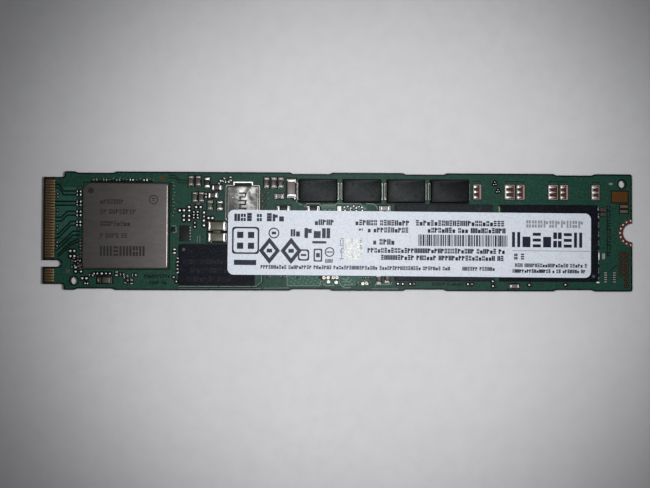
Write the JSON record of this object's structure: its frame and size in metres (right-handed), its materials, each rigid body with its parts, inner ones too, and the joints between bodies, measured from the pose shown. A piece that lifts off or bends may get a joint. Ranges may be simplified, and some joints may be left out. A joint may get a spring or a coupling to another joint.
{
  "type": "solid state drive",
  "caption": "Long narrow plug-in storage card: edge connector at one end, half-round screw notch at the other, chips, power parts and a white label on top.",
  "frame": {"origin": "centre of the card in plan, at the level of the lower packages' outer faces, on which it rests", "axes": "+X from the edge connector to the screw notch, +Y towards the hold-up capacitors' long edge, +Z out of the labelled face"},
  "size_m": [0.11, 0.022, 0.0034],
  "materials": {
    "solder_mask": "semi-gloss green solder mask over copper",
    "contact_gold": "hard gold plate, satin",
    "pad_copper": "copper pad with a gold flash",
    "package_mould": "fine-grained black moulding compound",
    "package_substrate": "dark green laminate, sawn edge",
    "silicon": "ground silicon",
    "nickel_lid": "nickel-plated lid, satin, laser marked",
    "capacitor_mould": "black moulding compound, fine grain",
    "tin_plate": "bright tin plate",
    "ferrite": "pressed block with a silvery coated top",
    "winding_copper": "enamelled copper strip",
    "ceramic": "fired ceramic, brown",
    "label_film": "white printed label, satin"
  },
  "bodies": {
    "root": {"bulk_capacitor_1": "ceramic", "bulk_capacitor_2": "ceramic", "circuit_board": "solder_mask", "contacts_lower_long": "contact_gold", "contacts_lower_short": "contact_gold", "contacts_upper_long": "contact_gold", "contacts_upper_short": "contact_gold", "controller_die": "silicon", "controller_lid": "nickel_lid", "controller_substrate": "package_substrate", "dram_lower_dies": "silicon", "dram_lower_mould_cap": "package_mould", "dram_lower_substrate": "package_substrate", "dram_upper_dies": "silicon", "dram_upper_mould_cap": "package_mould", "dram_upper_substrate": "package_substrate", "filter_capacitor_1": "ceramic", "filter_capacitor_2": "ceramic", "flash_lower_1_die_stack": "silicon", "flash_lower_1_mould_cap": "package_mould", "flash_lower_1_substrate": "package_substrate", "flash_lower_2_die_stack": "silicon", "flash_lower_2_mould_cap": "package_mould", "flash_lower_2_substrate": "package_substrate", "flash_upper_1_die_stack": "silicon", "flash_upper_1_mould_cap": "package_mould", "flash_upper_1_substrate": "package_substrate", "flash_upper_2_die_stack": "silicon", "flash_upper_2_mould_cap": "package_mould", "flash_upper_2_substrate": "package_substrate", "holdup_capacitor_1_anode": "tin_plate", "holdup_capacitor_1_body": "capacitor_mould", "holdup_capacitor_1_cathode": "tin_plate", "holdup_capacitor_2_anode": "tin_plate", "holdup_capacitor_2_body": "capacitor_mould", "holdup_capacitor_2_cathode": "tin_plate", "holdup_capacitor_3_anode": "tin_plate", "holdup_capacitor_3_body": "capacitor_mould", "holdup_capacitor_3_cathode": "tin_plate", "holdup_capacitor_4_anode": "tin_plate", "holdup_capacitor_4_body": "capacitor_mould", "holdup_capacitor_4_cathode": "tin_plate", "inductor_core": "ferrite", "inductor_terminal_lower": "tin_plate", "inductor_terminal_upper": "tin_plate", "inductor_winding": "winding_copper", "input_capacitor_1": "ceramic", "input_capacitor_2": "ceramic", "input_capacitor_3": "ceramic", "input_diode": "package_mould", "label": "label_film", "output_capacitor_1": "ceramic", "output_capacitor_2": "ceramic", "output_capacitor_3": "ceramic", "output_capacitor_4": "ceramic", "power_management_chip": "package_mould", "screw_pad": "pad_copper", "stage_capacitor_1": "ceramic", "stage_capacitor_2": "ceramic"}
  },
  "joints": []
}
